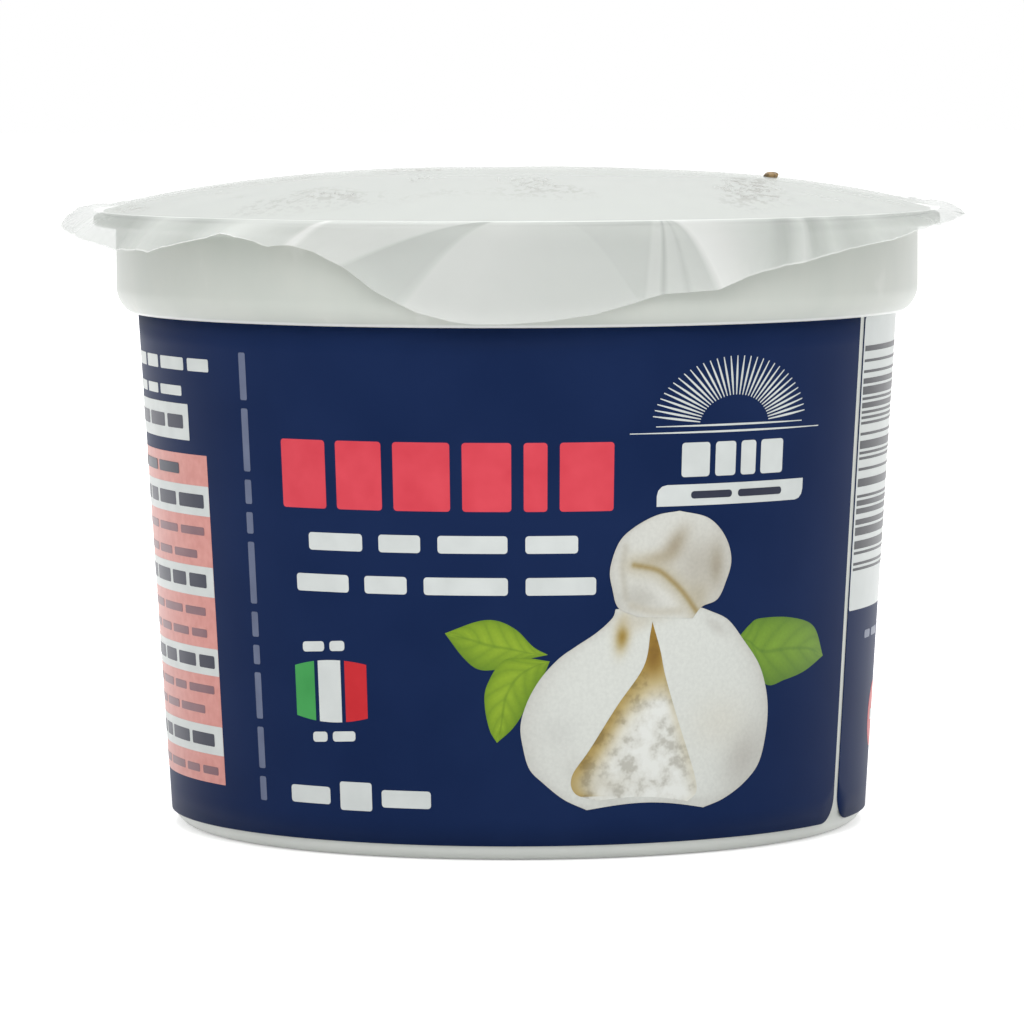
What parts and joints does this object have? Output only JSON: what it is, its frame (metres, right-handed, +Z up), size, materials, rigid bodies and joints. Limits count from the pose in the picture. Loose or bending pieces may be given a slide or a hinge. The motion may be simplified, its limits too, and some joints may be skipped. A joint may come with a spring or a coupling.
{
  "type": "sealed tub of burrata",
  "caption": "Sealed round plastic tub of fresh burrata cheese with a navy wrap label and a domed clear film lid with its pull tab folded down.",
  "frame": {"origin": "centre of the base, on the surface that the tub stands on", "axes": "+Z up along the tub's axis; the front of the label and the folded pull tab face -Y; +X to the right of the front"},
  "size_m": [0.1017, 0.0978, 0.0735],
  "materials": {
    "natural_plastic": "satin, slightly translucent natural plastic",
    "label_print": "satin printed plastic label, navy ground with plain fields of colour",
    "clear_film": "glossy clear sealing film, slightly milky, creased"
  },
  "bodies": {
    "root": {"tub": "natural_plastic", "label": "label_print", "lid_film": "clear_film"}
  },
  "joints": []
}
